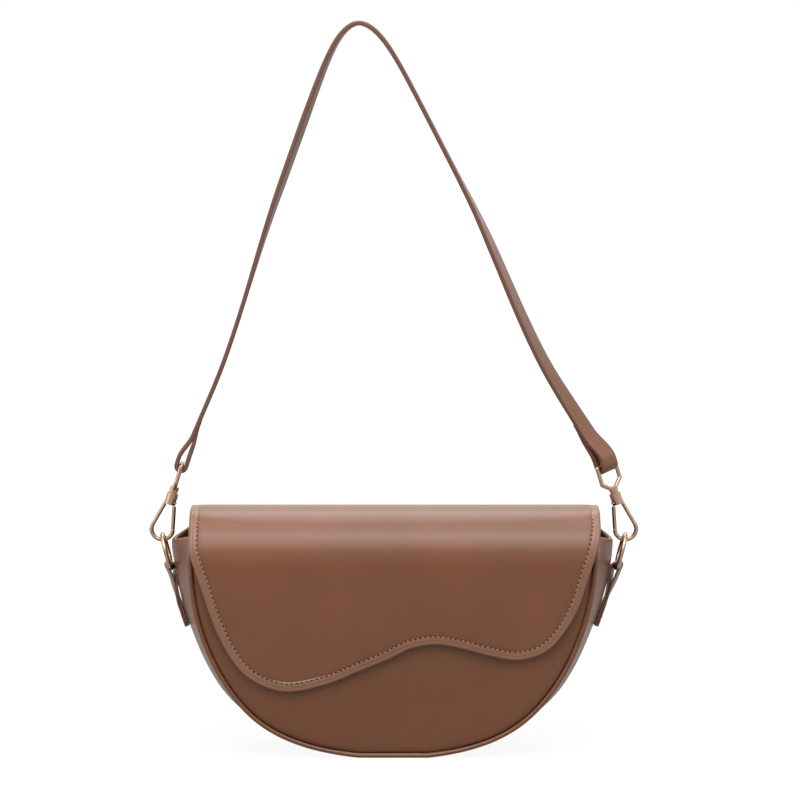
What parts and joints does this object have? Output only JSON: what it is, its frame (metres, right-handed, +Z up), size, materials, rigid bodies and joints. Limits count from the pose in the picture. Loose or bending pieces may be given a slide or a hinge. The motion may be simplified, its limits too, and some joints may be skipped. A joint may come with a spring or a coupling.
{
  "type": "saddle handbag",
  "caption": "Small saddle handbag with a half-moon body, a waisted magnetic flap, an inner slip pocket and a flat hand strap on swivel snap hooks.",
  "frame": {"origin": "middle of the flat base, on the surface that the bag stands on", "axes": "+X to the right as the front is seen, +Y towards the back, +Z up to the top of the strap"},
  "size_m": [0.2712, 0.0664, 0.4062],
  "materials": {
    "outer_leather": "smooth coated leather with a soft sheen",
    "lining_cloth": "fine woven lining cloth",
    "stiffener_board": "plain stiffening board, not seen from outside",
    "plated_metal": "polished pale gold plating",
    "spring_steel": "plain steel"
  },
  "bodies": {
    "bag": {"front_panel": "outer_leather", "back_panel": "outer_leather", "gusset": "outer_leather", "front_stiffener": "stiffener_board", "back_stiffener": "stiffener_board", "base_stiffener": "stiffener_board", "front_lining": "lining_cloth", "back_lining": "lining_cloth", "gusset_lining": "lining_cloth", "slip_pocket": "lining_cloth", "tab_left": "outer_leather", "tab_right": "outer_leather", "snap_socket": "plated_metal", "socket_washer": "spring_steel"},
    "flap_back": {"flap_crown": "outer_leather", "flap_crown_lining": "outer_leather"},
    "flap_front": {"flap_face": "outer_leather", "flap_face_lining": "outer_leather", "flap_stiffener": "stiffener_board", "snap_stud": "plated_metal", "stud_washer": "spring_steel"},
    "ring_left": {"ring_left": "plated_metal"},
    "ring_right": {"ring_right": "plated_metal"},
    "strap": {"strap_face": "outer_leather", "strap_lining": "outer_leather", "swivel_eye_left": "plated_metal", "swivel_eye_right": "plated_metal"},
    "hook_left": {"hook_left": "plated_metal", "gate_pin_left": "spring_steel", "gate_spring_left": "spring_steel"},
    "hook_right": {"hook_right": "plated_metal", "gate_pin_right": "spring_steel", "gate_spring_right": "spring_steel"},
    "gate_left": {"gate_left": "plated_metal"},
    "gate_right": {"gate_right": "plated_metal"}
  },
  "joints": [
    {"name": "flap_lift", "type": "hinge", "parent": "bag", "child": "flap_back", "pos_m": [0, 0.03, 0.1223], "axis": [-1, 0, 0], "range_deg": [0, 65]},
    {"name": "flap_fold", "type": "hinge", "parent": "flap_back", "child": "flap_front", "pos_m": [0, -0.0364, 0.118], "axis": [-1, 0, 0], "range_deg": [0, 150]},
    {"name": "strap_swing", "type": "hinge", "parent": "bag", "child": "strap", "pos_m": [0, 0, 0.113], "axis": [-1, 0, 0], "range_deg": [0, 105]},
    {"name": "ring_left_sway", "type": "hinge", "parent": "bag", "child": "ring_left", "pos_m": [-0.12343, 0, 0.10157], "axis": [0, 1, 0], "range_deg": [-0.5, 3]},
    {"name": "ring_right_sway", "type": "hinge", "parent": "bag", "child": "ring_right", "pos_m": [0.12343, 0, 0.10157], "axis": [0, -1, 0], "range_deg": [-0.5, 3]},
    {"name": "hook_left_swivel", "type": "hinge", "parent": "strap", "child": "hook_left", "pos_m": [-0.1285, 0, 0.1234], "axis": [0.2924, 0, 0.9563], "range_deg": [-10, 10]},
    {"name": "hook_right_swivel", "type": "hinge", "parent": "strap", "child": "hook_right", "pos_m": [0.1285, 0, 0.1234], "axis": [-0.2924, 0, 0.9563], "range_deg": [-10, 10]},
    {"name": "gate_left_open", "type": "hinge", "parent": "hook_left", "child": "gate_left", "pos_m": [-0.12163, 0, 0.13819], "axis": [0, 1, 0], "range_deg": [0, 20], "stiffness_Nm_per_rad": 0.002, "springref_deg": -5.73},
    {"name": "gate_right_open", "type": "hinge", "parent": "hook_right", "child": "gate_right", "pos_m": [0.12163, 0, 0.13819], "axis": [0, -1, 0], "range_deg": [0, 20], "stiffness_Nm_per_rad": 0.002, "springref_deg": -5.73}
  ],
  "couplings": [
    {"joint": "strap_swing", "follows": "flap_lift", "ratio": 1.6}
  ]
}
